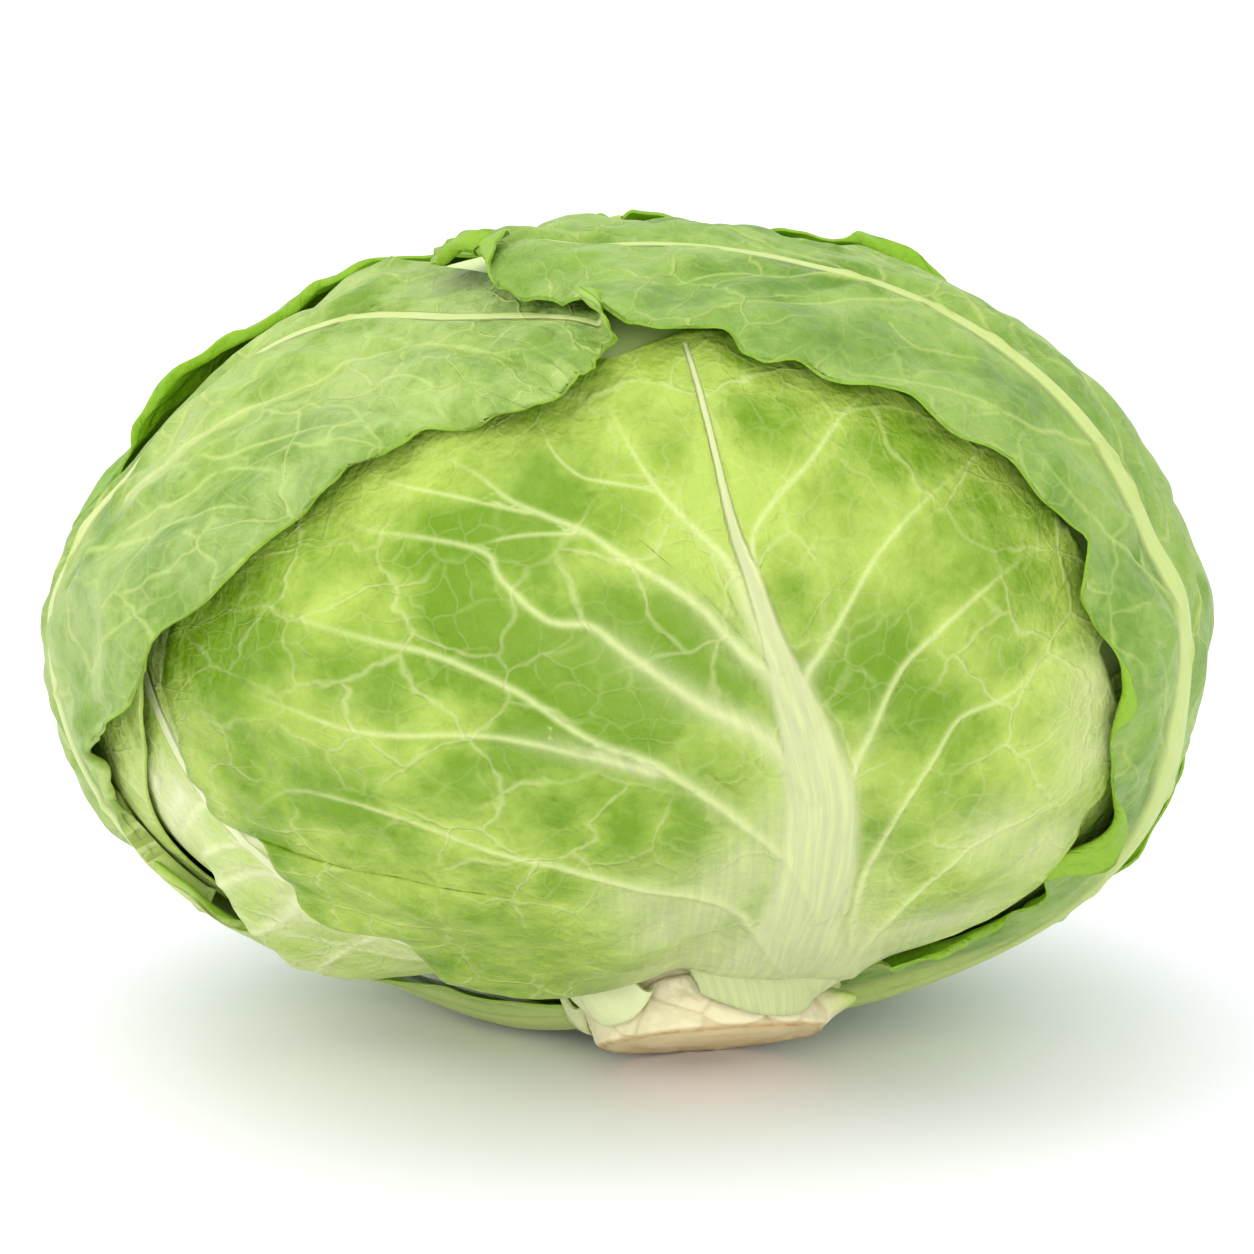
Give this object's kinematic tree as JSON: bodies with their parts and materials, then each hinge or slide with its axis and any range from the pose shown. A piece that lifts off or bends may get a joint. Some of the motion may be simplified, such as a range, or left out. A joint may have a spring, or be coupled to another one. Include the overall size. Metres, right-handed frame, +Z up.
{
  "type": "cabbage head",
  "caption": "Flat head of green cabbage lying tipped on its cut stem, with a bright front leaf, waxy wrapper leaves at the sides and a waved outer leaf behind",
  "frame": {"origin": "bottom centre of the bounding box, on the surface that the head rests on", "axes": "+Z up, +X across the widest way of the head, the cut stem end towards -Y"},
  "size_m": [0.224, 0.2019, 0.1601],
  "materials": {
    "inner_leaf": "smooth dense leaf, satin",
    "stem": "cut fibrous stem, matt",
    "pale_leaf": "pale leaf with white ribs, satin",
    "green_leaf": "yellow-green leaf with pale veins, satin",
    "waxy_leaf": "grey-green leaf with a thin wax bloom, satin"
  },
  "bodies": {
    "root": {"heart": "inner_leaf", "stalk": "stem", "low_left_leaf": "pale_leaf", "low_right_leaf": "green_leaf", "front_leaf": "green_leaf", "side_leaf": "pale_leaf", "left_leaf": "waxy_leaf", "right_leaf": "waxy_leaf", "back_leaf": "waxy_leaf"}
  },
  "joints": []
}
